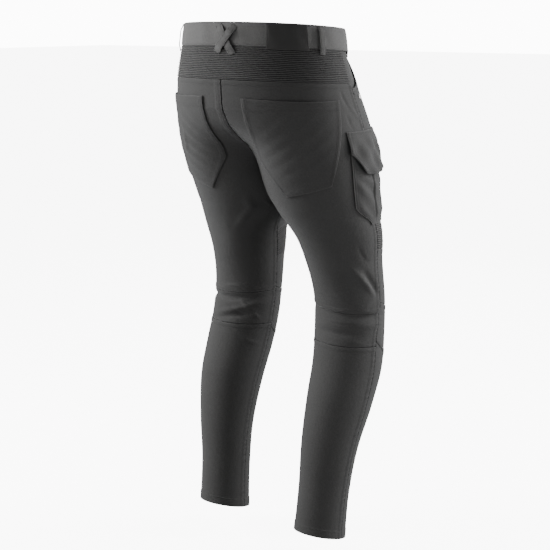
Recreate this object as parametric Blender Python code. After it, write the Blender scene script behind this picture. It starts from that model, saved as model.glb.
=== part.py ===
"""Motorcycle trousers: slim five-pocket cut with ribbed stretch panels, worn form with no wearer.

Metres, +Z up. The origin is the centre of the waist opening. The front faces -Y, the wearer's left is +X.
Every piece is read from one body surface, skin(side, u, drop): side is +1 for the wearer's left and -1 for
the right, u runs round the half hip or the leg from the seat seam or inseam at 0, over the side seam near
0.5, to the front seam or inseam at 1, and drop is the distance below the waist.
"""
from collections import namedtuple

import bmesh
import bpy
import numpy as np
from mathutils import Vector

NAME = "motorcycle_trousers"
SIDES = ((1, "left"), (-1, "right"))

# Driving dimensions
CROTCH = 0.345
FORK_TOP = 0.150
HEM = 1.005
LEAN = 0.015
CLOTH = 0.0018
BAND_CLOTH = 0.0028
BAND_PROUD = 0.0012
SEAM_GAP = 0.0003
LAY_GAP = 0.0008
POCKET_CLOTH = 0.0012
RIB_RISE = 0.0010
RIB_WALL = 0.0010
SEAT_REACH = 0.28
COLUMNS = 10

# The hip rings: the half round from the seat seam to the front seam
HipRing = namedtuple("HipRing", "drop back half_width seat belly square tilt")
HIP_RINGS = [
    HipRing(0.000, 0.000, 0.163, 0.122, 0.114, 2.15, 0.08),
    HipRing(0.042, 0.000, 0.169, 0.126, 0.120, 2.15, 0.07),
    HipRing(0.108, -0.008, 0.183, 0.140, 0.140, 2.20, 0.04),
    HipRing(0.190, -0.035, 0.196, 0.157, 0.146, 2.25, 0.00),
    HipRing(0.260, -0.051, 0.203, 0.159, 0.143, 2.25, 0.00),
    HipRing(0.345, -0.070, 0.200, 0.145, 0.125, 2.20, 0.00),
]

# The leg rings: out is the leg's centre from the middle plane, back its place towards +Y
LegRing = namedtuple("LegRing", "drop out back inner outer rear fore tilt")
LEG_RINGS = [
    LegRing(0.150, 0.0970, -0.030, 0.097, 0.097, 0.135, 0.130, 0.00),
    LegRing(0.345, 0.0950, -0.077, 0.095, 0.103, 0.102, 0.100, -0.05),
    LegRing(0.400, 0.1040, -0.092, 0.069, 0.097, 0.086, 0.091, -0.05),
    LegRing(0.450, 0.1150, -0.105, 0.069, 0.080, 0.080, 0.083, -0.04),
    LegRing(0.530, 0.1280, -0.116, 0.072, 0.070, 0.070, 0.073, 0.00),
    LegRing(0.600, 0.1340, -0.110, 0.073, 0.067, 0.069, 0.075, 0.05),
    LegRing(0.660, 0.1370, -0.098, 0.070, 0.069, 0.072, 0.071, 0.12),
    LegRing(0.730, 0.1370, -0.072, 0.065, 0.066, 0.070, 0.064, 0.18),
    LegRing(0.820, 0.1320, -0.045, 0.057, 0.057, 0.059, 0.055, 0.20),
    LegRing(0.910, 0.1270, -0.033, 0.051, 0.051, 0.052, 0.053, 0.23),
    LegRing(1.010, 0.1235, -0.023, 0.051, 0.051, 0.053, 0.055, 0.28),
]

# How much of the hip ring the seat seam keeps on its way down into the fork
SeatRow = namedtuple("SeatRow", "drop share")
SEAT_SEAM = [
    SeatRow(0.150, 1.00),
    SeatRow(0.180, 0.90),
    SeatRow(0.204, 0.73),
    SeatRow(0.218, 0.60),
    SeatRow(0.235, 0.49),
    SeatRow(0.265, 0.36),
    SeatRow(0.300, 0.31),
    SeatRow(0.325, 0.24),
    SeatRow(0.345, 0.00),
]

# Where the side seam lies, and how far round a whole step of u goes
SideRow = namedtuple("SideRow", "drop u girth")
SIDE_SEAM = [
    SideRow(0.000, 0.515, 0.46),
    SideRow(0.100, 0.533, 0.50),
    SideRow(0.200, 0.530, 0.56),
    SideRow(0.345, 0.512, 0.61),
    SideRow(0.450, 0.505, 0.49),
    SideRow(0.535, 0.500, 0.44),
    SideRow(0.600, 0.480, 0.42),
    SideRow(0.750, 0.487, 0.38),
    SideRow(0.900, 0.500, 0.31),
    SideRow(1.010, 0.500, 0.32),
]

# Seams that cross a panel: drop at the side seam, drop at the inner seam, and the dip between them
Cross = namedtuple("Cross", "outer inner dip")
WAIST_TOP = Cross(0.0, 0.0, 0.0)
BAND_SEAM = Cross(0.041, 0.041, 0.0)
YOKE_SEAM = Cross(0.100, 0.100, 0.0)
BACK_KNEE_TOP = Cross(0.550, 0.541, 0.0)
BACK_KNEE_LOW = Cross(0.616, 0.615, 0.0)
RIBS_TOP = Cross(0.368, 0.412, 0.0)
RIBS_LOW = Cross(0.420, 0.472, 0.0)
KNEE_TOP = Cross(0.530, 0.538, 0.020)
KNEE_LOW = Cross(0.604, 0.621, 0.045)
HEM_EDGE = Cross(HEM, HEM, 0.0)

# The largest folds: middle and run along the cloth, half width across it, and rise (a trough is negative)
Fold = namedtuple("Fold", "side u drop run_u run_drop width rise")
FOLDS = [
    Fold(-1, 0.300, 0.551, 0.26, 0.006, 0.0060, -0.0055),
    Fold(-1, 0.330, 0.570, 0.20, 0.004, 0.0070, 0.0035),
    Fold(-1, 0.260, 0.590, 0.16, 0.000, 0.0060, -0.0040),
    Fold(-1, 0.420, 0.480, 0.05, 0.035, 0.0070, 0.0040),
    Fold(-1, 0.462, 0.488, 0.04, 0.035, 0.0070, -0.0040),
    Fold(1, 0.290, 0.560, 0.22, 0.006, 0.0060, -0.0055),
    Fold(1, 0.150, 0.575, 0.16, 0.022, 0.0060, 0.0040),
    Fold(1, 0.200, 0.597, 0.16, 0.018, 0.0060, -0.0040),
    Fold(1, 0.150, 0.360, 0.05, 0.045, 0.0090, 0.0035),
]

# Corners of the patch pocket on the seat
Corner = namedtuple("Corner", "u drop")
BACK_POCKET = dict(
    top_inner=Corner(0.066, 0.129),
    top_outer=Corner(0.438, 0.129),
    low_outer=Corner(0.363, 0.284),
    low_middle=Corner(0.222, 0.308),
    low_inner=Corner(0.100, 0.243),
)

# The cargo pocket on the side of the thigh: the flap over the bag
CARGO_BACK, CARGO_FRONT = 0.434, 0.690
BAG_TOP, BAG_LOW = 0.224, 0.368
BAG_STANDOFF = 0.0034
PLEAT_MIDDLE, PLEAT_HALF, PLEAT_RISE = 0.553, 0.036, 0.0030
FLAP_TOP, FLAP_LOW = 0.186, 0.264
FLAP_STANDOFF = 0.0100
FLAP_SIDE = 0.0030
FLAP_CLOTH = 0.0024

# Belt loops and the patch on the waistband
LOOP_WIDTH = 0.0130
LOOP_CLOTH = 0.0015
LOOP_RISE = 0.0035
LOOP_TOP = 0.002
LOOP_LOW = 0.052
LOOPS = dict(belt_loop_back_left=0.310, belt_loop_back_right=-0.400,
             belt_loop_front_left=0.730, belt_loop_front_right=-0.730)
CROSS_WIDTH = 0.0120
CROSS_RISE = 0.0030
PATCH_SPAN = (0.166, 0.337)
PATCH_DROPS = (0.002, 0.0465)
PATCH_CLOTH = 0.0014
FRONT_LAP = 0.045
MOUTH_FROM, MOUTH_TO = Corner(0.740, 0.0415), Corner(0.545, 0.112)
MOUTH_SCOOP = 0.016
MOUTH_GAP = 0.0022
RIVET = Corner(0.592, 0.124)
RIVET_RADIUS = 0.0048
RIVET_HEIGHT = 0.0016
RIVET_SEAT = 0.0002
BUTTON_RADIUS = 0.0085


def read(rows, column, drop):
    """A smooth curve through one column of a table."""
    places = np.array([row.drop for row in rows])
    values = np.array([getattr(row, column) for row in rows])
    drop = np.clip(np.asarray(drop, float), places[0], places[-1])
    k = np.clip(np.searchsorted(places, drop) - 1, 0, len(places) - 2)
    slope = np.gradient(values, places)
    step = places[k + 1] - places[k]
    t = (drop - places[k]) / step
    return ((2 * t**3 - 3 * t**2 + 1) * values[k] + (t**3 - 2 * t**2 + t) * step * slope[k]
            + (3 * t**2 - 2 * t**3) * values[k + 1] + (t**3 - t**2) * step * slope[k + 1])


def power(value, exponent):
    return np.sign(value) * np.abs(value) ** exponent


def smooth(t):
    t = np.clip(t, 0, 1)
    return t * t * (3 - 2 * t)


def skin(side, u, drop):
    """The outer face of the plain cloth."""
    u, drop = np.broadcast_arrays(np.asarray(u, float), np.asarray(drop, float))
    square = 2 / read(HIP_RINGS, "square", drop)
    cos_hip, sin_hip = power(np.cos(np.pi * u), square), power(np.sin(np.pi * u), square)
    depth = np.where(cos_hip > 0, read(HIP_RINGS, "seat", drop), read(HIP_RINGS, "belly", drop))
    hip_x = read(HIP_RINGS, "half_width", drop) * sin_hip
    hip_y = read(HIP_RINGS, "back", drop) + depth * cos_hip
    hip_z = read(HIP_RINGS, "tilt", drop) * hip_y
    cos_leg, sin_leg = np.cos(2 * np.pi * u), np.sin(2 * np.pi * u)
    reach = np.where(cos_leg > 0, read(LEG_RINGS, "inner", drop), read(LEG_RINGS, "outer", drop))
    leg_x = read(LEG_RINGS, "out", drop) - reach * cos_leg
    rear = np.where(sin_leg > 0, read(LEG_RINGS, "rear", drop), read(LEG_RINGS, "fore", drop)) * sin_leg
    leg_y = read(LEG_RINGS, "back", drop) + rear
    leg_z = read(LEG_RINGS, "tilt", drop) * rear
    t = np.clip((CROTCH - drop) / (CROTCH - FORK_TOP), 0, 1)
    seat = 0.2 * np.sqrt(t) + 0.8 * smooth(t)
    seam = read(SEAT_SEAM, "share", drop)
    seat = seam + (seat - seam) * smooth(u / SEAT_REACH)
    front = np.sqrt(1 - (1 - t) ** 2)
    share = seat * (1 - u) + front * u
    x = side * ((1 - share) * leg_x + share * hip_x)
    y = (1 - share) * leg_y + share * hip_y
    z = -drop + (1 - share) * leg_z + share * hip_z + LEAN * x * smooth((drop - 0.03) / 0.15)
    return np.stack([x, y, z], -1)


def outward(side, u, drop):
    """The skin's unit normal, from one-sided steps at the seams."""
    small = 0.002
    across = skin(side, np.clip(u + small, 0, 1), drop) - skin(side, np.clip(u - small, 0, 1), drop)
    down = skin(side, u, drop + small) - skin(side, u, drop - small)
    normal = -np.cross(down, across) * np.asarray(side)[..., None]
    return normal / np.linalg.norm(normal, axis=-1, keepdims=True)


def fold_rise(side, u, drop):
    """How far the large folds lift the cloth."""
    girth = read(SIDE_SEAM, "girth", drop)
    rise = np.zeros(np.broadcast(u, drop).shape)
    for fold in FOLDS:
        if fold.side != side:
            continue
        run = np.array([fold.run_u * girth, np.broadcast_to(fold.run_drop, girth.shape)])
        length = np.hypot(*run)
        run = run / length
        to = np.array([(u - fold.u) * girth, drop - fold.drop + 0 * girth])
        along = (to * run).sum(0) / length
        across = to[0] * run[1] - to[1] * run[0]
        rise = rise + fold.rise * smooth(1.15 - np.abs(along)) * np.exp(-(across / fold.width) ** 2)
    return rise


def surface(side, u, drop, out=0.0):
    """Points on the cloth, moved out along its normal, and kept on their own side of the middle."""
    u, drop = np.broadcast_arrays(np.asarray(u, float), np.asarray(drop, float))
    lift = np.asarray(out) + fold_rise(side, u, drop)
    points = skin(side, u, drop) + outward(side, u, drop) * np.broadcast_to(lift, u.shape)[..., None]
    upper = drop < CROTCH + 0.01
    points[..., 0] = np.where(upper, side * np.maximum(side * points[..., 0], SEAM_GAP / 2), points[..., 0])
    return points


def round_waist(v, drop, out=0.0):
    """The same points by one coordinate: v is 0 at the seat seam, 1 or -1 at the front, + on the left."""
    v, drop, out = np.broadcast_arrays(np.asarray(v, float), drop, out)
    v = (v + 1) % 2 - 1
    side = np.where(v >= 0, 1.0, -1.0)
    return skin(side, np.abs(v), drop) + outward(side, np.abs(v), drop) * out[..., None]


def cross_seam(cross, u, side_u, inner_u):
    """The drop of a seam that crosses a panel, at each u."""
    t = (u - side_u) / (inner_u - side_u)
    return cross.outer + (cross.inner - cross.outer) * t + cross.dip * (1 - (2 * t - 1) ** 2)


def panel_grid(inner_u, top, low, shares):
    """u and drop for a panel between the side seam and the inner seam, and between two cross seams.

    shares are the rows, as parts of the way down; the seam gap is taken off all round.
    """
    columns = np.linspace(0, 1, COLUMNS + 1)
    u = np.zeros((len(shares), COLUMNS + 1))
    drop = np.zeros_like(u)
    for _ in range(3):
        seam_u = read(SIDE_SEAM, "u", drop)
        edge = SEAM_GAP / 2 / read(SIDE_SEAM, "girth", drop) * np.sign(inner_u - 0.5)
        u = seam_u + edge + (inner_u - seam_u - 2 * edge) * columns
        upper = cross_seam(top, u, seam_u, inner_u) + SEAM_GAP / 2
        lower = cross_seam(low, u, seam_u, inner_u) - SEAM_GAP / 2
        drop = upper + (lower - upper) * np.asarray(shares)[:, None]
    return u, drop


def new_object(name, points, faces, material):
    mesh = bpy.data.meshes.new(name)
    mesh.from_pydata([tuple(p) for p in points], [], faces)
    body = bmesh.new()
    body.from_mesh(mesh)
    bmesh.ops.recalc_face_normals(body, faces=body.faces)
    bmesh.ops.triangulate(body, faces=[f for f in body.faces if len(f.verts) > 4])
    body.to_mesh(mesh)
    body.free()
    mesh.shade_smooth()
    mesh.set_sharp_from_angle(angle=0.6)
    mesh.materials.append(material)
    thing = bpy.data.objects.new(name, mesh)
    PARTS.objects.link(thing)
    return thing


def wall(name, outer, inner, material, closed=False):
    """A cloth wall lofted between its outer grid and a plainer inner grid with as many columns.

    The two are unlike sections, so that ribs and folds stand on a plain inside and each edge keeps its
    seam gap. A closed wall goes all the way round.
    """
    rows, columns = outer.shape[:2]
    inner_rows = inner.shape[0]
    points = np.concatenate([outer.reshape(-1, 3), inner.reshape(-1, 3)])

    def out_at(r, c):
        return r * columns + c % columns

    def in_at(r, c):
        return rows * columns + r * columns + c % columns

    faces = []
    steps = columns if closed else columns - 1
    for c in range(steps):
        faces += [(out_at(r, c), out_at(r, c + 1), out_at(r + 1, c + 1), out_at(r + 1, c))
                  for r in range(rows - 1)]
        faces += [(in_at(r, c), in_at(r + 1, c), in_at(r + 1, c + 1), in_at(r, c + 1))
                  for r in range(inner_rows - 1)]
        faces.append((out_at(0, c + 1), out_at(0, c), in_at(0, c), in_at(0, c + 1)))
        last, inner_last = rows - 1, inner_rows - 1
        faces.append((out_at(last, c), out_at(last, c + 1), in_at(inner_last, c + 1), in_at(inner_last, c)))
    if not closed:
        for c in (0, columns - 1):
            if rows == inner_rows:
                faces += [(out_at(r, c), out_at(r + 1, c), in_at(r + 1, c), in_at(r, c))
                          for r in range(rows - 1)]
            else:
                faces.append(tuple(out_at(r, c) for r in range(rows))
                             + tuple(in_at(r, c) for r in reversed(range(inner_rows))))
    return new_object(name, points, faces, material)


def cloth_panel(name, side, inner_u, top, low, rows, material, proud=0.0):
    """A plain cut panel: its outer face on the skin, its inner face one cloth thickness in."""
    u, drop = panel_grid(inner_u, top, low, np.linspace(0, 1, rows + 1))
    return wall(name, surface(side, u, drop, proud), surface(side, u, drop, -CLOTH), material)


def rib_shares(count):
    """Rows for ribs: a valley and a crest for each, with a valley at both ends."""
    return np.linspace(0, 1, 2 * count + 1)


def rib_height(count):
    return np.where(np.arange(2 * count + 1) % 2 == 1, RIB_RISE, 0.0)[:, None]


def make_waistband(material):
    """One strip round the waist, with its left end lapped over its right end at the front."""
    v = np.linspace(-1 + 0.006, 1 + FRONT_LAP, 53)
    step_out = smooth((v - 0.955) / 0.03) * (BAND_CLOTH + SEAM_GAP)
    drop = np.linspace(WAIST_TOP.outer, BAND_SEAM.outer - SEAM_GAP / 2, 3)[:, None]
    outer = round_waist(v, drop, BAND_PROUD + step_out)
    inner = round_waist(v, drop, BAND_PROUD - BAND_CLOTH + step_out)
    wall("waistband", outer, inner, material)


def make_yoke(material, count=19):
    """The ribbed stretch yoke across the back, from side seam to side seam."""
    drop = (BAND_SEAM.outer + SEAM_GAP / 2
            + (YOKE_SEAM.outer - BAND_SEAM.outer - SEAM_GAP) * rib_shares(count))[:, None]
    plain = np.linspace(drop[0, 0], drop[-1, 0], 4)[:, None]
    across = np.linspace(-1, 1, 2 * COLUMNS + 3)

    def grid(rows, out):
        reach = read(SIDE_SEAM, "u", rows) - SEAM_GAP / 2 / read(SIDE_SEAM, "girth", rows)
        return round_waist(across * reach, rows, out)

    wall("yoke_ribs", grid(drop, rib_height(count)), grid(plain, -RIB_WALL), material)


def make_thigh_ribs(side, tag, material, count=13):
    """The accordion panel above the knee."""
    u, drop = panel_grid(1.0, RIBS_TOP, RIBS_LOW, rib_shares(count))
    plain_u, plain_drop = panel_grid(1.0, RIBS_TOP, RIBS_LOW, np.linspace(0, 1, 5))
    outer = surface(side, u, drop, rib_height(count))
    wall("thigh_ribs_" + tag, outer, surface(side, plain_u, plain_drop, -RIB_WALL), material)


def mouth_drop(u):
    """The front pocket's mouth: a scooped line from the waistband down to the side seam."""
    t = np.clip((MOUTH_FROM.u - u) / (MOUTH_FROM.u - MOUTH_TO.u), 0, 1)
    return MOUTH_FROM.drop + (MOUTH_TO.drop - MOUTH_FROM.drop) * t + MOUTH_SCOOP * 4 * t * (1 - t)


def make_front(side, tag, material):
    """The front panel, whose top edge runs along the waistband and the scooped pocket mouth."""
    shares = np.linspace(0, 1, 19)
    u, drop = panel_grid(1.0, BAND_SEAM, RIBS_TOP, shares)
    top = np.where(u[0] < MOUTH_FROM.u, mouth_drop(u[0]) + SEAM_GAP / 2, drop[0])
    low = drop[-1]
    drop = top + (low - top) * shares[:, None]
    seam = read(SIDE_SEAM, "u", drop) + SEAM_GAP / 2 / read(SIDE_SEAM, "girth", drop)
    u = seam + (u[:, -1:] - seam) * np.linspace(0, 1, COLUMNS + 1)
    wall("front_" + tag, surface(side, u, drop), surface(side, u, drop, -CLOTH), material)


def make_facing(side, tag, material):
    """The pocket facing in the corner behind the mouth, a little lower than the front."""
    columns = np.linspace(0, 1, 9)
    drop = np.zeros((4, 9))
    for _ in range(3):
        seam = read(SIDE_SEAM, "u", drop) + SEAM_GAP / 2 / read(SIDE_SEAM, "girth", drop)
        u = seam + (MOUTH_FROM.u - 0.012 - seam) * columns
        top = BAND_SEAM.outer + SEAM_GAP / 2
        low = np.maximum(mouth_drop(u[-1]) - MOUTH_GAP, top + 0.002)
        drop = top + (low - top) * np.linspace(0, 1, 4)[:, None]
    recess = -0.0006
    wall("pocket_facing_" + tag, surface(side, u, drop, recess), surface(side, u, drop, -CLOTH), material)


def make_back_pocket(side, tag, material):
    """A five-cornered patch pocket, moved out from the seat."""
    spot = BACK_POCKET
    rows = np.linspace(0, 1, 11)
    top, middle = spot["top_inner"].drop, spot["low_middle"].drop
    bend = (spot["low_inner"].drop - top) / (middle - top)
    inner_u = np.where(rows < bend,
                       spot["top_inner"].u + (spot["low_inner"].u - spot["top_inner"].u) * (rows / bend) ** 3,
                       spot["low_inner"].u
                       + (spot["low_middle"].u - spot["low_inner"].u) * (rows - bend) / (1 - bend))
    inner_drop = top + (middle - top) * rows
    outer_u = spot["top_outer"].u + (spot["low_outer"].u - spot["top_outer"].u) * rows
    outer_drop = spot["top_outer"].drop + (spot["low_outer"].drop - spot["top_outer"].drop) * rows
    across = np.linspace(0, 1, 11)
    u = inner_u[:, None] + (outer_u - inner_u)[:, None] * across
    drop = inner_drop[:, None] + (outer_drop - inner_drop)[:, None] * across
    wall("back_pocket_" + tag, surface(side, u, drop, LAY_GAP + POCKET_CLOTH),
         surface(side, u, drop, LAY_GAP), material)


def make_cargo_bag(side, tag, material):
    """The cargo pocket's bag: seated on the thigh round its edge, lifted in the middle, box pleated."""
    rows = np.linspace(0, 1, 10)[:, None]
    across = np.linspace(0, 1, 15)
    chamfer = 0.052 * smooth((rows - 0.72) / 0.28)
    back = CARGO_BACK + 0.004 + chamfer
    front = CARGO_FRONT - 0.006 - chamfer
    u = back + (front - back) * across
    drop = BAG_TOP + (BAG_LOW - BAG_TOP) * rows + 0 * u
    full = smooth(rows * 2) * smooth((1 - rows) * 6)
    lift = smooth(np.minimum(across, 1 - across) * 7) * full
    pleat = smooth(2.2 - np.abs(u - PLEAT_MIDDLE) / PLEAT_HALF * 1.7) * full
    under = LAY_GAP + (BAG_STANDOFF - LAY_GAP) * lift
    outer = surface(side, u, drop, under + CLOTH + PLEAT_RISE * pleat)
    wall("cargo_bag_" + tag, outer, surface(side, u, drop, under), material)


def make_cargo_flap(side, tag, material):
    """The flap over the bag's mouth: sewn down along its top, with cut-off lower corners."""
    rows = np.linspace(0, 1, 9)[:, None]
    across = np.linspace(0, 1, 15)
    end = np.minimum(across, 1 - across)
    low = FLAP_LOW + 0.004 * np.sin(np.pi * across) - 0.036 * (1 - smooth(end / 0.24))
    u = CARGO_BACK + (CARGO_FRONT - CARGO_BACK) * across + 0 * rows
    drop = FLAP_TOP + (low - FLAP_TOP) * rows
    off_top = FLAP_SIDE * smooth((drop - FLAP_TOP) / (BAG_TOP - FLAP_TOP - 0.002))
    swell = (FLAP_STANDOFF - FLAP_SIDE) * ((drop - FLAP_TOP) / (FLAP_LOW - FLAP_TOP)) ** 2
    under = LAY_GAP + off_top + swell * smooth(end * 9)
    wall("cargo_flap_" + tag, surface(side, u, drop, under + FLAP_CLOTH), surface(side, u, drop, under),
         material)


def strap(name, start, end, width, rise, seat, material):
    """A belt loop: a strip from start to end on the waistband that stands off between its sewn ends.

    start and end are (v, drop), rise is the stand-off at the middle and seat the height of the sewn ends.
    """
    t = np.array([0, 0.08, 0.16, 0.28, 0.42, 0.58, 0.72, 0.84, 0.92, 1.0])[:, None]
    girth = read(SIDE_SEAM, "girth", (start[1] + end[1]) / 2)
    run = np.array([(end[0] - start[0]) * girth, end[1] - start[1]])
    run = run / np.hypot(*run)
    half = np.array([-width / 2, width / 2])
    v = start[0] + (end[0] - start[0]) * t + half * run[1] / girth
    drop = start[1] + (end[1] - start[1]) * t - half * run[0]
    out = seat + rise * smooth(np.minimum(t, 1 - t) / 0.26)
    wall(name, round_waist(v, drop, out + LOOP_CLOTH), round_waist(v, drop, out), material)


def make_patch(material):
    """The plain patch on the right of the waistband."""
    v = -np.linspace(*PATCH_SPAN, 9)
    drop = np.linspace(*PATCH_DROPS, 4)[:, None]
    under = BAND_PROUD + SEAM_GAP
    wall("patch", round_waist(v, drop, under + PATCH_CLOTH), round_waist(v, drop, under), material)


def round_stud(name, place, towards, radius, height, material):
    """A turned metal head whose flat foot faces the cloth: a domed profile spun round its own axis."""
    profile = [(0.0, 0.0), (radius, 0.0), (radius, 0.35 * height), (0.86 * radius, 0.8 * height),
               (0.5 * radius, height), (0.0, height)]
    body = bmesh.new()
    points = [body.verts.new((x, 0.0, z)) for x, z in profile]
    edges = [body.edges.new(pair) for pair in zip(points, points[1:])]
    bmesh.ops.spin(body, geom=points + edges, cent=(0, 0, 0), axis=(0, 0, 1), angle=2 * np.pi, steps=14)
    bmesh.ops.remove_doubles(body, verts=body.verts, dist=0.00001)
    bmesh.ops.recalc_face_normals(body, faces=body.faces)
    mesh = bpy.data.meshes.new(name)
    body.to_mesh(mesh)
    body.free()
    mesh.materials.append(material)
    stud = bpy.data.objects.new(name, mesh)
    stud.rotation_mode = "QUATERNION"
    stud.rotation_quaternion = Vector(towards).to_track_quat("Z", "Y")
    stud.location = place
    PARTS.objects.link(stud)
    return stud


def stud_on_cloth(name, side, spot, out, radius, height, material):
    """A rivet or button seated just above the flattest point under it."""
    place = surface(side, spot.u, spot.drop)
    normal = outward(side, np.asarray(spot.u), np.asarray(spot.drop))
    return round_stud(name, place + normal * out, normal, radius, height, material)


def finish(name, colour, roughness, metallic=0.0):
    material = bpy.data.materials.new(name)
    material.use_nodes = True
    shader = material.node_tree.nodes["Principled BSDF"]
    shader.inputs["Base Color"].default_value = (*colour, 1.0)
    shader.inputs["Roughness"].default_value = roughness
    shader.inputs["Metallic"].default_value = metallic
    return material


def clear_scene():
    for thing in list(bpy.data.objects):
        bpy.data.objects.remove(thing, do_unlink=True)


def make_leg(side, tag, twill, ribbing, metal):
    """All the pieces of one side."""
    cloth_panel("back_" + tag, side, 0.0, YOKE_SEAM, BACK_KNEE_TOP, 21, twill)
    cloth_panel("back_knee_" + tag, side, 0.0, BACK_KNEE_TOP, BACK_KNEE_LOW, 10, twill)
    cloth_panel("calf_" + tag, side, 0.0, BACK_KNEE_LOW, HEM_EDGE, 13, twill)
    make_front(side, tag, twill)
    make_facing(side, tag, twill)
    make_thigh_ribs(side, tag, ribbing)
    cloth_panel("lower_thigh_" + tag, side, 1.0, RIBS_LOW, KNEE_TOP, 4, twill)
    cloth_panel("knee_" + tag, side, 1.0, KNEE_TOP, KNEE_LOW, 5, twill)
    cloth_panel("shin_" + tag, side, 1.0, KNEE_LOW, HEM_EDGE, 13, twill)
    make_back_pocket(side, tag, twill)
    make_cargo_bag(side, tag, twill)
    make_cargo_flap(side, tag, twill)
    stud_on_cloth("rivet_" + tag, side, RIVET, SEAM_GAP + RIVET_SEAT, RIVET_RADIUS, RIVET_HEIGHT, metal)


def make_loops(twill):
    """Belt loops: two at the back, two at the front, and the crossed pair at the seat seam."""
    seat = BAND_PROUD + SEAM_GAP
    for name, v in LOOPS.items():
        strap(name, (v, LOOP_TOP), (v, LOOP_LOW), LOOP_WIDTH, LOOP_RISE, seat, twill)
    strap("cross_loop_under", (0.016, 0.006), (-0.040, 0.056), CROSS_WIDTH, CROSS_RISE, seat, twill)
    strap("cross_loop_over", (-0.046, 0.007), (0.018, 0.053), CROSS_WIDTH,
          CROSS_RISE + LOOP_CLOTH + SEAM_GAP, seat, twill)


def main():
    twill = finish("charcoal_twill", (0.045, 0.045, 0.047), 0.85)
    ribbing = finish("charcoal_ribbing", (0.040, 0.040, 0.042), 0.80)
    leather = finish("dark_leather", (0.025, 0.025, 0.026), 0.45)
    metal = finish("brushed_metal", (0.60, 0.60, 0.62), 0.35, 1.0)
    make_waistband(twill)
    make_yoke(ribbing)
    for side, tag in SIDES:
        make_leg(side, tag, twill, ribbing, metal)
    make_loops(twill)
    make_patch(leather)
    lap = BAND_PROUD + BAND_CLOTH + 2 * SEAM_GAP + RIVET_SEAT
    stud_on_cloth("waist_button", -1, Corner(1 - 0.45 * FRONT_LAP, 0.021), lap, BUTTON_RADIUS, 0.0040, metal)


clear_scene()
PARTS = bpy.data.collections.new(NAME)
bpy.context.scene.collection.children.link(PARTS)
main()
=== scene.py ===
"""Motorcycle trousers: the finish of every piece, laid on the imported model's own surface.

Every cloth piece is read from one body surface, skin(side, u, drop), in metres. side is +1 for the wearer's
left and -1 for the right, u runs round the half hip or the leg from the seat seam or inseam at 0, over the
side seam near 0.5, to the front seam or inseam at 1, and drop is the distance below the waist.
"""
import math
from collections import namedtuple

import bpy
import numpy as np
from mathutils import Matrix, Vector


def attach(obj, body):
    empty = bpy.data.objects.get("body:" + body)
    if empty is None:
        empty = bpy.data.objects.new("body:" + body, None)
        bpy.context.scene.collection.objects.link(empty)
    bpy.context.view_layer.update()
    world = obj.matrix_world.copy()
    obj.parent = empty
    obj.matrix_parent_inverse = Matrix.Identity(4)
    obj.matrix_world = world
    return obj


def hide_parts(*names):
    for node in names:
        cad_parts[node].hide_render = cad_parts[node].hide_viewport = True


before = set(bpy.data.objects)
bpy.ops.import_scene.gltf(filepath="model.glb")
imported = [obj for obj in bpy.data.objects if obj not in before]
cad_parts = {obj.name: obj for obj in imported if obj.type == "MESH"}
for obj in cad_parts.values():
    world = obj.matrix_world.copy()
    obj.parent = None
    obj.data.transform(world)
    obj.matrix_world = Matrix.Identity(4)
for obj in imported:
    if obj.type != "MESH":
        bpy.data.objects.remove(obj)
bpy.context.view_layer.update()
RNG = np.random.default_rng(7)

# Sizes of the cut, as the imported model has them
CROTCH = 0.345
FORK_TOP = 0.150
HEM = 1.005
LEAN = 0.015
CLOTH = 0.0018
BAND_CLOTH = 0.0028
BAND_PROUD = 0.0012
SEAM_GAP = 0.0003
LAY_GAP = 0.0008
SEAT_REACH = 0.28

HipRing = namedtuple("HipRing", "drop back half_width seat belly square tilt")
HIP_RINGS = [
    HipRing(0.000, 0.000, 0.163, 0.122, 0.114, 2.15, 0.08),
    HipRing(0.042, 0.000, 0.169, 0.126, 0.120, 2.15, 0.07),
    HipRing(0.108, -0.008, 0.183, 0.140, 0.140, 2.20, 0.04),
    HipRing(0.190, -0.035, 0.196, 0.157, 0.146, 2.25, 0.00),
    HipRing(0.260, -0.051, 0.203, 0.159, 0.143, 2.25, 0.00),
    HipRing(0.345, -0.070, 0.200, 0.145, 0.125, 2.20, 0.00),
]

LegRing = namedtuple("LegRing", "drop out back inner outer rear fore tilt")
LEG_RINGS = [
    LegRing(0.150, 0.0970, -0.030, 0.097, 0.097, 0.135, 0.130, 0.00),
    LegRing(0.345, 0.0950, -0.077, 0.095, 0.103, 0.102, 0.100, -0.05),
    LegRing(0.400, 0.1040, -0.092, 0.069, 0.097, 0.086, 0.091, -0.05),
    LegRing(0.450, 0.1150, -0.105, 0.069, 0.080, 0.080, 0.083, -0.04),
    LegRing(0.530, 0.1280, -0.116, 0.072, 0.070, 0.070, 0.073, 0.00),
    LegRing(0.600, 0.1340, -0.110, 0.073, 0.067, 0.069, 0.075, 0.05),
    LegRing(0.660, 0.1370, -0.098, 0.070, 0.069, 0.072, 0.071, 0.12),
    LegRing(0.730, 0.1370, -0.072, 0.065, 0.066, 0.070, 0.064, 0.18),
    LegRing(0.820, 0.1320, -0.045, 0.057, 0.057, 0.059, 0.055, 0.20),
    LegRing(0.910, 0.1270, -0.033, 0.051, 0.051, 0.052, 0.053, 0.23),
    LegRing(1.010, 0.1235, -0.023, 0.051, 0.051, 0.053, 0.055, 0.28),
]

SeatRow = namedtuple("SeatRow", "drop share")
SEAT_SEAM = [
    SeatRow(0.150, 1.00),
    SeatRow(0.180, 0.90),
    SeatRow(0.204, 0.73),
    SeatRow(0.218, 0.60),
    SeatRow(0.235, 0.49),
    SeatRow(0.265, 0.36),
    SeatRow(0.300, 0.31),
    SeatRow(0.325, 0.24),
    SeatRow(0.345, 0.00),
]

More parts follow.
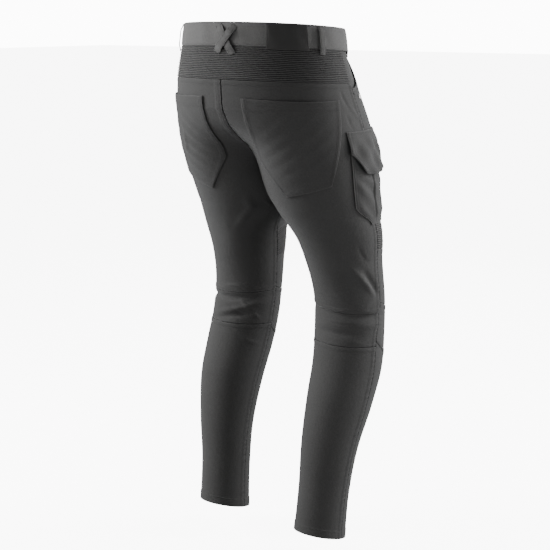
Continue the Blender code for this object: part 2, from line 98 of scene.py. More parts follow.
SideRow = namedtuple("SideRow", "drop u girth")
SIDE_SEAM = [
    SideRow(0.000, 0.515, 0.46),
    SideRow(0.100, 0.533, 0.50),
    SideRow(0.200, 0.530, 0.56),
    SideRow(0.345, 0.512, 0.61),
    SideRow(0.450, 0.505, 0.49),
    SideRow(0.535, 0.500, 0.44),
    SideRow(0.600, 0.480, 0.42),
    SideRow(0.750, 0.487, 0.38),
    SideRow(0.900, 0.500, 0.31),
    SideRow(1.010, 0.500, 0.32),
]

Cross = namedtuple("Cross", "outer inner dip")
BAND_SEAM = Cross(0.041, 0.041, 0.0)
YOKE_SEAM = Cross(0.100, 0.100, 0.0)
BACK_KNEE_TOP = Cross(0.550, 0.541, 0.0)
BACK_KNEE_LOW = Cross(0.616, 0.615, 0.0)
RIBS_TOP = Cross(0.368, 0.412, 0.0)
RIBS_LOW = Cross(0.420, 0.472, 0.0)
KNEE_TOP = Cross(0.530, 0.538, 0.020)
KNEE_LOW = Cross(0.604, 0.621, 0.045)
HEM_EDGE = Cross(HEM, HEM, 0.0)

# Folds: middle and half run along the cloth, half width across it, and rise (a trough is negative)
Fold = namedtuple("Fold", "side u drop run_u run_drop width rise")
FOLDS = [
    Fold(-1, 0.300, 0.551, 0.26, 0.006, 0.0060, -0.0055),
    Fold(-1, 0.330, 0.570, 0.20, 0.004, 0.0070, 0.0035),
    Fold(-1, 0.260, 0.590, 0.16, 0.000, 0.0060, -0.0040),
    Fold(-1, 0.420, 0.480, 0.05, 0.035, 0.0070, 0.0040),
    Fold(-1, 0.462, 0.488, 0.04, 0.035, 0.0070, -0.0040),
    Fold(1, 0.290, 0.560, 0.22, 0.006, 0.0060, -0.0055),
    Fold(1, 0.150, 0.575, 0.16, 0.022, 0.0060, 0.0040),
    Fold(1, 0.200, 0.597, 0.16, 0.018, 0.0060, -0.0040),
    Fold(1, 0.150, 0.360, 0.05, 0.045, 0.0090, 0.0035),
]


# Creases as listed: length and half width in metres, turn in degrees from across (90 runs down the leg),
# and bend as a share of the length. A trough has a negative rise
Crease = namedtuple("Crease", "side u drop length turn width rise bend")
CREASES = [
    Crease(-1, 0.33, 0.505, 0.060, 12, 0.0040, 0.0016, 0.10),
    Crease(-1, 0.18, 0.515, 0.050, -6, 0.0035, 0.0013, -0.08),
    Crease(-1, 0.25, 0.532, 0.080, 4, 0.0040, -0.0018, 0.05),
    Crease(-1, 0.40, 0.530, 0.050, -14, 0.0035, 0.0015, 0.10),
    Crease(-1, 0.30, 0.563, 0.110, 3, 0.0030, -0.0022, 0.06),
    Crease(-1, 0.20, 0.582, 0.060, -8, 0.0040, 0.0012, -0.10),
    Crease(-1, 0.38, 0.600, 0.050, 10, 0.0040, 0.0012, 0.10),
    Crease(-1, 0.48, 0.130, 0.050, 68, 0.0030, -0.0015, 0.08),
    Crease(-1, 0.50, 0.155, 0.045, 58, 0.0030, 0.0014, -0.08),
    Crease(-1, 0.47, 0.170, 0.040, 74, 0.0028, -0.0012, 0.05),
    Crease(-1, 0.44, 0.425, 0.050, 60, 0.0040, -0.0014, 0.10),
    Crease(1, 0.22, 0.535, 0.080, 6, 0.0040, 0.0018, -0.06),
    Crease(1, 0.28, 0.560, 0.110, 2, 0.0030, -0.0024, 0.05),
    Crease(1, 0.14, 0.570, 0.060, -38, 0.0032, 0.0022, 0.08),
    Crease(1, 0.18, 0.585, 0.070, -30, 0.0032, -0.0018, 0.06),
    Crease(1, 0.12, 0.592, 0.055, -34, 0.0030, 0.0018, -0.06),
    Crease(1, 0.16, 0.606, 0.050, -22, 0.0030, -0.0014, 0.04),
    Crease(1, 0.10, 0.645, 0.055, -24, 0.0036, 0.0014, 0.12),
    Crease(1, 0.08, 0.350, 0.050, 62, 0.0040, 0.0018, 0.06),
    Crease(1, 0.25, 0.220, 0.060, 58, 0.0045, 0.0020, 0.10),
    Crease(1, 0.36, 0.255, 0.050, 28, 0.0040, -0.0012, 0.08),
    Crease(1, 0.48, 0.140, 0.050, 66, 0.0030, -0.0014, 0.08),
    Crease(1, 0.74, 0.565, 0.070, 14, 0.0045, 0.0014, 0.10),
    Crease(-1, 0.74, 0.575, 0.065, -12, 0.0045, 0.0014, -0.10),
    Crease(1, 0.86, 0.330, 0.060, 40, 0.0045, -0.0016, 0.10),
    Crease(-1, 0.86, 0.335, 0.055, 36, 0.0045, -0.0016, -0.08),
]


# The body surface

def read(rows, column, drop):
    """A smooth curve through one column of a table."""
    places = np.array([row.drop for row in rows])
    values = np.array([getattr(row, column) for row in rows])
    drop = np.clip(np.asarray(drop, float), places[0], places[-1])
    k = np.clip(np.searchsorted(places, drop) - 1, 0, len(places) - 2)
    slope = np.gradient(values, places)
    step = places[k + 1] - places[k]
    t = (drop - places[k]) / step
    return ((2 * t**3 - 3 * t**2 + 1) * values[k] + (t**3 - 2 * t**2 + t) * step * slope[k]
            + (3 * t**2 - 2 * t**3) * values[k + 1] + (t**3 - t**2) * step * slope[k + 1])


def power(value, exponent):
    return np.sign(value) * np.abs(value) ** exponent


def ridge(x, width):
    """A smooth ridge of height 1 where x is 0."""
    return np.exp(-(x / width) ** 2)


def crowded(edge, near, middle):
    """Shares from 0 to 1 that crowd within edge of both ends."""
    return np.concatenate([np.linspace(0, edge, near)[:-1], np.linspace(edge, 1 - edge, middle),
                           np.linspace(1 - edge, 1, near)[1:]])


def smooth(t):
    t = np.clip(t, 0, 1)
    return t * t * (3 - 2 * t)


def skin(side, u, drop):
    """The outer face of the plain cloth."""
    side, u, drop = np.broadcast_arrays(side, np.asarray(u, float), np.asarray(drop, float))
    square = 2 / read(HIP_RINGS, "square", drop)
    cos_hip, sin_hip = power(np.cos(np.pi * u), square), power(np.sin(np.pi * u), square)
    depth = np.where(cos_hip > 0, read(HIP_RINGS, "seat", drop), read(HIP_RINGS, "belly", drop))
    hip_x = read(HIP_RINGS, "half_width", drop) * sin_hip
    hip_y = read(HIP_RINGS, "back", drop) + depth * cos_hip
    hip_z = read(HIP_RINGS, "tilt", drop) * hip_y
    cos_leg, sin_leg = np.cos(2 * np.pi * u), np.sin(2 * np.pi * u)
    reach = np.where(cos_leg > 0, read(LEG_RINGS, "inner", drop), read(LEG_RINGS, "outer", drop))
    leg_x = read(LEG_RINGS, "out", drop) - reach * cos_leg
    rear = np.where(sin_leg > 0, read(LEG_RINGS, "rear", drop), read(LEG_RINGS, "fore", drop)) * sin_leg
    leg_y = read(LEG_RINGS, "back", drop) + rear
    leg_z = read(LEG_RINGS, "tilt", drop) * rear
    t = np.clip((CROTCH - drop) / (CROTCH - FORK_TOP), 0, 1)
    seat = 0.2 * np.sqrt(t) + 0.8 * smooth(t)
    seam = read(SEAT_SEAM, "share", drop)
    seat = seam + (seat - seam) * smooth(u / SEAT_REACH)
    front = np.sqrt(1 - (1 - t) ** 2)
    share = seat * (1 - u) + front * u
    x = side * ((1 - share) * leg_x + share * hip_x)
    y = (1 - share) * leg_y + share * hip_y
    z = -drop + (1 - share) * leg_z + share * hip_z + LEAN * x * smooth((drop - 0.03) / 0.15)
    return np.stack([x, y, z], -1)


def outward(side, u, drop):
    """The skin's unit normal, from one-sided steps at the seams."""
    small = 0.002
    across = skin(side, np.clip(u + small, 0, 1), drop) - skin(side, np.clip(u - small, 0, 1), drop)
    down = skin(side, u, drop + small) - skin(side, u, drop - small)
    normal = -np.cross(down, across) * np.broadcast_to(side, across.shape[:-1])[..., None]
    return normal / np.linalg.norm(normal, axis=-1, keepdims=True)


def fold_rise(side, u, drop):
    """How far the folds lift the cloth."""
    girth = read(SIDE_SEAM, "girth", drop)
    rise = np.zeros(u.shape)
    for fold in FOLDS:
        run_x, run_y = fold.run_u * girth, fold.run_drop
        length = np.hypot(run_x, run_y)
        to_x, to_y = (u - fold.u) * girth, drop - fold.drop
        along = (to_x * run_x + to_y * run_y) / length**2
        across = (to_x * run_y - to_y * run_x) / length
        shape = smooth(1.15 - np.abs(along)) * ridge(across, fold.width)
        rise = rise + np.where(np.asarray(side) == fold.side, fold.rise * shape, 0.0)
    return rise


def crease_rise(side, u, drop):
    """How far the small creases lift the cloth: sharper on one flank, and fading at both ends."""
    girth = read(SIDE_SEAM, "girth", drop)
    side = np.broadcast_to(side, u.shape)
    rise = np.zeros(u.shape)
    for crease in CREASES:
        reach = crease.length / 2 + 3 * crease.width
        to_x, to_y = (u - crease.u) * girth, drop - crease.drop
        near = (side == crease.side) & (np.abs(to_x) < reach) & (np.abs(to_y) < reach)
        if not near.any():
            continue
        angle = math.radians(crease.turn)
        to_x, to_y = to_x[near], to_y[near]
        along = (to_x * math.cos(angle) + to_y * math.sin(angle)) / (crease.length / 2)
        bow = crease.bend * crease.length * (1 - along**2)
        across = -to_x * math.sin(angle) + to_y * math.cos(angle) - bow
        fade = smooth(1.1 - np.abs(along)) * (1 - 0.35 * along)
        flank = np.where(across > 0, 1.45, 0.8) * crease.width
        rise[near] += crease.rise * fade * ridge(across, flank)
    return rise


def surface(side, u, drop, out=0.0):
    """Points on the creased cloth, moved out along its normal, and kept on their own side of the middle."""
    side, u, drop, out = np.broadcast_arrays(side, np.asarray(u, float), np.asarray(drop, float), out)
    upper = drop < CROTCH + 0.01
    inside = np.clip(u, 0, 1)
    u = np.where(upper, inside, u)
    lift = out + fold_rise(side, u, drop) + crease_rise(side, u, drop)
    points = skin(side, u, drop) + outward(side, inside, drop) * lift[..., None]
    points[..., 0] = np.where(upper, side * np.maximum(side * points[..., 0], 0.0), points[..., 0])
    return points


def round_waist(v, drop, out=0.0):
    """Points by one coordinate round the waist: 0 at the seat seam, 1 or -1 at the front, + on the left."""
    v, drop, out = np.broadcast_arrays(np.asarray(v, float), drop, out)
    v = (v + 1) % 2 - 1
    side = np.where(v >= 0, 1.0, -1.0)
    lift = out + crease_rise(side, np.abs(v), drop)
    return skin(side, np.abs(v), drop) + outward(side, np.abs(v), drop) * lift[..., None]


# Seam edges: how the cloth is turned, lapped or tucked at each edge of a piece

LAP, TUCK, HEMMED = "lap", "tuck", "hemmed"
NEAR = {
    LAP: [0.0, 0.0006, 0.0014, 0.0021, 0.0029, 0.0042, 0.0058, 0.0070, 0.0078, 0.0088, 0.0105],
    TUCK: [-0.0040, -0.0006, 0.0003, 0.0010, 0.0018, 0.0030, 0.0050, 0.0075, 0.0105],
    HEMMED: [0.0, 0.0008, 0.0030, 0.0080, 0.0135, 0.0155, 0.0166, 0.0176, 0.0190],
}
LAP_WIDTH, LAP_RISE = 0.0084, 0.0008
STITCH_NEAR, STITCH_FAR = 0.0021, 0.0070
HEM_WIDTH = 0.0165

# The cargo pocket and the belt loops
BAG_TOP, BAG_LOW = 0.224, 0.368
FLAP_TOP, FLAP_LOW = 0.186, 0.264
FLAP_BACK, FLAP_FRONT = 0.434, 0.690
LOOP_CLOTH = 0.0015
LOOPS = dict(belt_loop_back_left=0.310, belt_loop_back_right=-0.400,
             belt_loop_front_left=0.730, belt_loop_front_right=-0.730)


def edge_rise(kind, s):
    """The height of a seam edge, s metres in from it."""
    if kind == LAP:
        turned = LAP_RISE * (1 - smooth((s - LAP_WIDTH + 0.0006) / 0.0014)) - 0.0006 * ridge(s, 0.0007)
        furrow = ridge(s - STITCH_NEAR, 0.0008) + ridge(s - STITCH_FAR, 0.0008)
        return turned - 0.00035 * furrow
    if kind == TUCK:
        return -(CLOTH + 0.0008) * (1 - smooth((s + 0.0004) / 0.0024))
    furrow = ridge(s - HEM_WIDTH + 0.0012, 0.0009)
    return 0.0009 * (1 - smooth((s - HEM_WIDTH) / 0.0014)) - 0.0004 * furrow


def edge_wear(kind, s):
    """How much an edge is rubbed paler: strongest along a lap's folded edge."""
    if kind in (LAP, HEMMED):
        return ridge(s, 0.0018)
    return 0.0 * s


def near_rows(kind):
    """The close rows beside an edge; an edge that changes kind along its length has those of both."""
    if isinstance(kind, tuple):
        rows = sorted({*NEAR[kind[0]], *NEAR[kind[1]]})
        return [row for k, row in enumerate(rows) if k == 0 or row - rows[k - 1] > 0.00025]
    return NEAR[kind]


def shift(kind_a, kind_b, share):
    """An edge that changes kind along its length; share(u, drop) is the part that is kind_b."""
    return kind_a, kind_b, share


def on_edge(effect, kind, s, u, drop):
    """An edge's rise or wear; a kind of three parts goes from its first to its second by its share."""
    if isinstance(kind, tuple):
        share = kind[2](u, drop)
        return effect(kind[0], s) * (1 - share) + effect(kind[1], s) * share
    return effect(kind, s)


def stations(first, last, count):
    """Places across a piece as (metres, share of the length): close together near both edges."""
    near, far = near_rows(first), near_rows(last)
    shares = np.linspace(0, 1, count + 2)[1:-1]
    metres = [*near, *(near[-1] * (1 - shares) - far[-1] * shares), *[-m for m in reversed(far)]]
    parts = [*np.zeros(len(near)), *shares, *np.ones(len(far))]
    return np.array(metres), np.array(parts)


def seam_drop(cross, u, t):
    """The drop of a cross seam, or of an edge given as a function of u."""
    if callable(cross):
        return cross(u)
    dip = 1 - (2 * np.clip(t, 0, 1) - 1) ** 2
    return cross.outer + (cross.inner - cross.outer) * t + cross.dip * dip


class Panel:
    """A cut panel between the side seam and an inner seam (u is 0 or 1), and between two cross seams.

    edges are the kinds of its side, inner, top and low edges.
    """

    def __init__(self, side, inner_u, top, low, edges, columns, rows, relief=None):
        self.side, self.inner_u, self.top, self.low, self.edges = side, inner_u, top, low, edges
        self.columns, self.rows, self.relief = columns, rows, relief

    def chart(self, across, down):
        """u and drop at places given as (metres, share) across from the side seam and down from the top."""
        toward = np.sign(self.inner_u - 0.5)
        drop = np.full(np.broadcast(across[0], down[0]).shape, 0.5)
        u = np.full(drop.shape, 0.5)
        for _ in range(5):
            seam_u = read(SIDE_SEAM, "u", drop)
            girth = read(SIDE_SEAM, "girth", drop)
            width = np.abs(self.inner_u - seam_u) * girth
            s = across[0] + across[1] * width
            u = seam_u + toward * s / girth
            top = seam_drop(self.top, u, s / width)
            low = seam_drop(self.low, u, s / width)
            r = down[0] + down[1] * (low - top)
            drop = top + r
        return u, drop, (s, width - s, r, low - top - r)

    def place(self, across, down, out=0.0):
        """Points, their u and drop, and how rubbed they are near the edges, or on a ribbed panel the crest
        share that sets the painted shade in its grooves.
        """
        u, drop, gaps = self.chart(across, down)
        lift, wear_and_rib_shade = 0.0 * u + out, 0.0 * u
        for kind, s in zip(self.edges, gaps):
            lift = lift + on_edge(edge_rise, kind, s, u, drop)
            wear_and_rib_shade = np.maximum(wear_and_rib_shade, on_edge(edge_wear, kind, s, u, drop))
        lift = lift + puckers(drop, gaps[0], 1.3) + puckers(drop, gaps[1], 4.1)
        if self.relief:
            # A ribbed panel gives its crest share instead of its rubbed edges; the ribbing paint uses it to
            # paint shade into the grooves.
            rib_lift, rib_lit_crest = self.relief(u, gaps[2] / (gaps[2] + gaps[3]))
            lift, wear_and_rib_shade = lift + rib_lift, rib_lit_crest
        return surface(self.side, u, drop, lift), u, drop, wear_and_rib_shade

    def grid(self):
        side_edge, inner_edge, top_edge, low_edge = self.edges
        across = stations(side_edge, inner_edge, self.columns)
        if self.relief:
            metres, parts = np.zeros(self.rows), np.linspace(0, 1, self.rows)
            metres[0], metres[-1] = -0.003, 0.003
        else:
            metres, parts = stations(top_edge, low_edge, self.rows)
        return self.place(across, (metres[:, None], parts[:, None]))

    def line(self, edge, inset, start=0.0035, end=0.0035):
        """Points and normals along a line beside one edge, for sewing."""
        t = np.linspace(0, 1, 500 if edge in ("side", "inner") else 120)
        along = (start * (1 - t) - end * t, t)
        fixed = (np.full(t.size, inset), np.zeros(t.size)) if edge in ("side", "top") else (
            np.full(t.size, -inset), np.ones(t.size))
        across, down = (fixed, along) if edge in ("side", "inner") else (along, fixed)
        points, u, drop, _ = self.place(across, down)
        return points, outward(self.side, np.clip(u, 0, 1), drop)


def puckers(drop, s, phase):
    """Small uneven ripples that run away from a long seam, s metres in from it."""
    beat = np.sin(drop * 610 + 3 * np.sin(drop * 83 + phase) + phase)
    beat = beat + 0.6 * np.sin(drop * 977 + 2 * np.sin(drop * 131 + 2 * phase))
    return 0.0004 * beat * ridge(s, 0.008) * smooth(s / 0.001)


def ribs(count, rise):
    """Relief for a panel of raised ribs: rounded crests, narrow grooves, no two ribs quite alike."""
    def relief(u, t):
        t = np.clip(t, 0, 1)
        wander = 0.10 * np.sin(u * 37 + 5 * t) + 0.06 * np.sin(u * 91 + 11 * t)
        turn = t * count + wander * smooth(8 * t) * smooth(8 * (1 - t))
        number = np.floor(turn)
        uneven = 1 + 0.22 * np.sin(number * 2.4 + u * 9) + 0.12 * np.sin(number * 5.1 - u * 23)
        crest = np.abs(np.sin(np.pi * turn)) ** 0.8
        # The crest share goes out as well, for the painted shade in the grooves.
        return rise * uneven * (1.25 * crest - 0.25), crest
    return relief


# Meshes

def map_flat(points):
    """Flat cloth coordinates in metres for a grid, measured along its rows and down its columns."""
    across = np.linalg.norm(np.diff(points, axis=1), axis=-1)
    across = np.concatenate([np.zeros((len(points), 1)), np.cumsum(across, 1)], 1)
    down = np.linalg.norm(np.diff(points, axis=0), axis=-1)
    down = np.concatenate([np.zeros((1, points.shape[1])), np.cumsum(down, 0)], 0)
    across = across - across[:, across.shape[1] // 2, None]
    return np.stack([across, down], -1)


def press(thing, kind, **settings):
    """Adds a modifier and applies it."""
    modifier = thing.modifiers.new(kind.title(), kind)
    for name, value in settings.items():
        setattr(modifier, name, value)
    bpy.ops.object.select_all(action="DESELECT")
    thing.select_set(True)
    bpy.context.view_layer.objects.active = thing
    bpy.ops.object.modifier_apply(modifier=modifier.name)
    return thing


def dress(thing, material, nodes, sharp=0.9):
    """Finishes a piece: its material, its smoothing, what it stands for, and what it rides on."""
    thing.data.materials.clear()
    thing.data.materials.append(material)
    thing.data.shade_smooth()
    thing.data.set_sharp_from_angle(angle=sharp)
    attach(thing, "root")
    if nodes:
        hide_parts(*nodes)
    return thing


def grid_mesh(name, points, hint, wear_and_rib_shade=None, flat=None):
    """A sheet of quads from a grid of points, facing the way of hint at its middle."""
    rows, columns = points.shape[:2]
    r, c = rows // 2, columns // 2
    lean = np.cross(points[r, c] - points[r - 1, c], points[r, c] - points[r, c - 1])
    index = np.arange(rows * columns).reshape(rows, columns)
    corners = [index[:-1, :-1], index[1:, :-1], index[1:, 1:], index[:-1, 1:]]
    if np.dot(lean, hint) < 0:
        corners.reverse()
    faces = np.stack(corners, -1).reshape(-1, 4)
    mesh = bpy.data.meshes.new(name)
    mesh.vertices.add(rows * columns)
    mesh.vertices.foreach_set("co", points.reshape(-1))
    mesh.loops.add(faces.size)
    mesh.loops.foreach_set("vertex_index", faces.reshape(-1))
    mesh.polygons.add(len(faces))
    mesh.polygons.foreach_set("loop_start", np.arange(0, faces.size, 4))
    mesh.update(calc_edges=True)
    mesh.validate()
    flat = map_flat(points) if flat is None else flat
    layer = mesh.uv_layers.new(name="cloth")
    layer.data.foreach_set("uv", flat.reshape(-1, 2)[faces.reshape(-1)].reshape(-1))
    # This attribute holds paler rubbed edges on twill and leather, and on ribbing the crest share that sets
    # painted shade in the grooves.
    mark = mesh.attributes.new("wear_and_rib_shade", "FLOAT", "POINT")
    mark.data.foreach_set("value", (np.zeros(rows * columns) if wear_and_rib_shade is None else wear_and_rib_shade).reshape(-1))
    thing = bpy.data.objects.new(name, mesh)
    bpy.context.scene.collection.objects.link(thing)
    return thing


def cloth_piece(name, points, hint, material, nodes, thickness=CLOTH, wear_and_rib_shade=None):
    """A cloth shell: the outer face as a grid, thickened inwards; its flat size is worked out but not kept.
    """
    thing = grid_mesh(name, points, hint, wear_and_rib_shade)
    press(thing, "SOLIDIFY", thickness=thickness, offset=-1.0)
    dress(thing, material, nodes)
    across = np.linalg.norm(np.diff(points, axis=1), axis=-1).sum(1).max()
    down = np.linalg.norm(np.diff(points, axis=0), axis=-1).sum(0).max()
    corner, opposite = points[1:, 1:] - points[:-1, :-1], points[1:, :-1] - points[:-1, 1:]
    area = 0.5 * np.linalg.norm(np.cross(corner, opposite), axis=-1).sum()
    float(min(area, across * down))
    return thing


STITCH_FACES = [(2, 3, 7, 6), (5, 4, 6, 7), (0, 2, 6), (4, 0, 6), (3, 1, 7), (1, 5, 7),
                (0, 4, 5), (0, 5, 1), (0, 1, 3), (0, 3, 2)]


def stitch_corners(foot, crown, along, half, sideways):
    """The eight corners of one stitch: two tips, four at its foot and two on its crown."""
    return [foot - along * half, foot + along * half,
            foot - along * half * 0.7 + sideways, foot + along * half * 0.7 + sideways,
            foot - along * half * 0.7 - sideways, foot + along * half * 0.7 - sideways,
            crown - along * half * 0.6, crown + along * half * 0.6]


class Thread:
    """Stitches gathered as they are sewn, and made into one mesh at the end."""

    def __init__(self):
        self.points, self.faces, self.count = [], [], 0

    def sew(self, points, normals, pitch=0.0036, length=0.0027, width=0.0006, height=0.0003):
        """Stitches along a line of points, each a little unlike the next in length and turn."""
        points, normals = np.asarray(points), np.asarray(normals)
        run = np.concatenate([[0], np.cumsum(np.linalg.norm(np.diff(points, axis=0), axis=1))])
        places = np.arange(pitch * 0.6, run[-1] - pitch * 0.6, pitch)
        if not places.size:
            return
        places = places + RNG.uniform(-0.1, 0.1, places.size) * pitch

        def at(where, rows):
            return np.stack([np.interp(where, run, rows[:, k]) for k in range(3)], -1)

        middle, normal = at(places, points), at(places, normals)
        half = length / 2 * RNG.uniform(0.92, 1.06, places.size)[:, None]
        ahead, behind = at(places + length / 2, points), at(places - length / 2, points)
        along = ahead - behind
        along /= np.linalg.norm(along, axis=1, keepdims=True)
        normal /= np.linalg.norm(normal, axis=1, keepdims=True)
        sideways = np.cross(normal, along) * width / 2
        foot = middle - normal * 0.0001
        crown = middle + normal * height
        corners = stitch_corners(foot, crown, along, half, sideways)
        first = self.count + 8 * np.arange(places.size)[:, None]
        for face in STITCH_FACES:
            self.faces += (first + np.array(face)).tolist()
        self.points.append(np.stack(corners, 1).reshape(-1, 3))
        self.count += 8 * places.size

    def bar(self, start, end, normal, width=0.0018, pitch=0.0007):
        """A bar tack: close stitches side by side from start to end."""
        start, end, normal = (np.asarray(x, float) for x in (start, end, normal))
        along = (end - start) / np.linalg.norm(end - start)
        sideways = np.cross(normal, along)
        for k in range(int(np.linalg.norm(end - start) / pitch)):
            middle = start + along * pitch * (k + 0.5)
            tip = sideways * width / 2 * (1 + 0.08 * (k % 3))
            self.sew_one(middle - tip, middle + tip, normal)

    def sew_one(self, start, end, normal, width=0.00055, height=0.00035):
        along = (end - start) / np.linalg.norm(end - start)
        half = np.linalg.norm(end - start) / 2
        middle, sideways = (start + end) / 2, np.cross(normal, along) * width / 2
        foot, crown = middle - normal * 0.0001, middle + normal * height
        corners = stitch_corners(foot, crown, along, half, sideways)
        for face in STITCH_FACES:
            self.faces.append([self.count + k for k in face])
        self.points.append(np.array(corners))
        self.count += 8

    def cut(self, name, material):
        """The stitches sewn so far, as one piece."""
        mesh = bpy.data.meshes.new(name)
        mesh.from_pydata(np.concatenate(self.points).tolist(), [], self.faces)
        thing = bpy.data.objects.new(name, mesh)
        bpy.context.scene.collection.objects.link(thing)
        dress(thing, material, (), sharp=1.2)
        self.__init__()
        return thing


# Materials

class Socket:
    """One output socket, so that shader maths reads as plain sums."""

    def __init__(self, paint, output):
        self.paint, self.output = paint, output

    def sum(self, operation, *values):
        return self.paint.node("ShaderNodeMath", {"operation": operation}, dict(enumerate(values)))

    def __add__(self, other):
        return self.sum("ADD", self, other)

    __radd__ = __add__

    def __sub__(self, other):
        return self.sum("SUBTRACT", self, other)

    def __rsub__(self, other):
        return self.sum("SUBTRACT", other, self)

    def __mul__(self, other):
        return self.sum("MULTIPLY", self, other)

    __rmul__ = __mul__

    def wave(self):
        return self.sum("SINE", self)

    def step(self, low, high):
        """0 below low, 1 above high, and smooth between them."""
        settings = {"interpolation_type": "SMOOTHSTEP"}
        inputs = {"Value": self, "From Min": low, "From Max": high}
        return self.paint.node("ShaderNodeMapRange", settings, inputs)


class Paint:
    """A material and its shader, filled in by one method for any node."""

    def __init__(self, name, **constants):
        self.material = bpy.data.materials.new(name)
        self.material.use_nodes = True
        self.tree = self.material.node_tree
        self.shader = self.tree.nodes["Principled BSDF"]
        for socket, value in constants.items():
            self.shader.inputs[socket.replace("_", " ")].default_value = value

    def node(self, kind, settings, inputs, output=0):
        made = self.tree.nodes.new(kind)
        for name, value in settings.items():
            setattr(made, name, value)
        for socket, value in inputs.items():
            self.feed(made.inputs[socket], value)
        return Socket(self, made.outputs[output])

    def feed(self, socket, value):
        if isinstance(value, Socket):
            self.tree.links.new(value.output, socket)
        else:
            socket.default_value = value

    def set(self, socket, value):
        self.feed(self.shader.inputs[socket], value)

    def place(self, kind="Object"):
        return self.node("ShaderNodeTexCoord", {}, {}, kind)

    def flat(self):
        """The cloth coordinates: metres across and metres down."""
        uv = self.node("ShaderNodeUVMap", {"uv_map": "cloth"}, {})
        return self.split(uv)

    def split(self, vector):
        made = self.tree.nodes.new("ShaderNodeSeparateXYZ")
        self.feed(made.inputs[0], vector)
        return [Socket(self, output) for output in made.outputs]

    def noise(self, scale, detail=3.0, roughness=0.55, vector=None):
        where = self.place() if vector is None else vector
        settings = {"Vector": where, "Scale": scale, "Detail": detail, "Roughness": roughness}
        return self.node("ShaderNodeTexNoise", {}, settings)

    def mark(self, name):
        return self.node("ShaderNodeAttribute", {"attribute_name": name}, {}, "Fac")

    def mix(self, share, first, second):
        """A colour between two others."""
        made = self.tree.nodes.new("ShaderNodeMix")
        made.data_type = "RGBA"
        for socket, value in ((made.inputs[0], share), (made.inputs[6], first), (made.inputs[7], second)):
            self.feed(socket, value)
        return Socket(self, made.outputs[2])

    def grey(self, value, warmth=0.0):
        """A near neutral colour from one number."""
        made = self.tree.nodes.new("ShaderNodeCombineColor")
        for k, tint in enumerate((1 + warmth, 1.0, 1 - warmth)):
            self.feed(made.inputs[k], value * tint)
        return Socket(self, made.outputs[0])

    def bump(self, height, distance, strength=1.0):
        self.set("Normal", self.node("ShaderNodeBump", {}, {"Height": height, "Distance": distance,
                                                            "Strength": strength}))


def twill_paint(name="charcoal_twill", depth=0.040):
    """Charcoal stretch twill: fine diagonal weave, soft wash mottling, paler rubbed seam edges."""
    paint = Paint(name, Roughness=0.88, Sheen_Weight=0.16, Sheen_Roughness=0.45,
                  Specular_IOR_Level=0.28)
    paint.shader.inputs["Sheen Tint"].default_value = (0.75, 0.78, 0.80, 1)
    across, down, _ = paint.flat()
    rib = ((across * 0.72 + down * 0.69) * 7200).wave() * 0.5 + 0.5
    cross = ((across * 0.60 - down * 0.80) * 9500).wave() * 0.5 + 0.5
    slub = paint.noise(1300.0, 2.0, 0.6)
    wash = paint.noise(9.0, 4.0, 0.6)
    grain = paint.noise(420.0, 3.0, 0.7)
    worn = paint.mark("wear_and_rib_shade")
    tone = depth * (0.55 + 0.12 * rib * cross + 0.85 * grain + 0.30 * (wash - 0.5) + 0.10 * slub)
    rubbed = worn * (0.35 + grain * 0.9)
    paint.set("Base Color", paint.grey(tone + rubbed * 0.016, 0.012))
    paint.set("Roughness", 0.84 + 0.10 * grain - rubbed * 0.06)
    paint.bump(rib * (0.55 + 0.45 * cross) + grain * 0.7, 0.00010, 0.8)
    return paint.material


def rib_paint():
    """Accordion ribbing: matte crests, grooves painted almost black as shade, fine knit lines along each
    rib.
    """
    paint = Paint("stretch_ribbing", Roughness=0.9, Sheen_Weight=0.10, Sheen_Roughness=0.5,
                  Specular_IOR_Level=0.22)
    across, down, _ = paint.flat()
    knit = (across * 5200).wave() * 0.5 + 0.5
    thread = (down * 6900 + knit * 1.4).wave() * 0.5 + 0.5
    grain = paint.noise(520.0, 3.0, 0.7)
    crest = paint.mark("wear_and_rib_shade")
    # The crest share read here sets painted shade: the grooves between the ribs are painted near black, and
    # only the crests keep the cloth's tone.
    tone = (0.002 + 0.062 * crest.step(0.35, 0.95)) * (0.78 + 0.22 * knit * thread + 0.30 * grain)
    paint.set("Base Color", paint.grey(tone, 0.01))
    paint.set("Roughness", 0.86 + 0.10 * grain)
    paint.bump(knit * thread + grain * 0.5, 0.00012, 0.8)
    return paint.material


def leather_paint():
    """Smooth dark leather with a fine grain, a little glossy, paler along its cut edges."""
    paint = Paint("dark_leather", Roughness=0.42, Specular_IOR_Level=0.45, Coat_Weight=0.10,
                  Coat_Roughness=0.35)
    settings = {"feature": "DISTANCE_TO_EDGE"}
    inputs = {"Vector": paint.place(), "Scale": 900.0}
    cells = paint.node("ShaderNodeTexVoronoi", settings, inputs, "Distance")
    pebble = cells.step(0.0, 0.35)
    haze = paint.noise(60.0, 4.0, 0.6)
    tone = 0.020 * (0.72 + 0.22 * pebble + 0.35 * haze) + paint.mark("wear_and_rib_shade") * 0.012
    paint.set("Base Color", paint.grey(tone, 0.03))
    paint.set("Roughness", 0.50 - 0.14 * pebble + 0.12 * (haze - 0.5))
    paint.bump(pebble + haze * 0.4, 0.00008, 0.7)
    return paint.material


def metal_paint():
    """Satin metal, brushed round and lightly scratched."""
    paint = Paint("satin_metal", Metallic=1.0, Roughness=0.34)
    scratch = paint.noise(2600.0, 2.0, 0.8)
    haze = paint.noise(240.0, 3.0, 0.6)
    paint.set("Base Color", paint.grey(0.55 + 0.20 * haze - 0.10 * scratch, 0.01))
    paint.set("Roughness", 0.26 + 0.18 * haze + 0.12 * scratch)
    paint.bump(scratch, 0.00002, 0.6)
    return paint.material


def thread_paint():
    """Charcoal polyester thread, a little smoother than the cloth, twisted."""
    paint = Paint("charcoal_thread", Roughness=0.62, Specular_IOR_Level=0.4)
    twist = paint.noise(3200.0, 2.0, 0.5)
    paint.set("Base Color", paint.grey(0.024 + 0.020 * twist, 0.01))
    paint.set("Roughness", 0.52 + 0.22 * twist)
    return paint.material


# Camera, light and floor

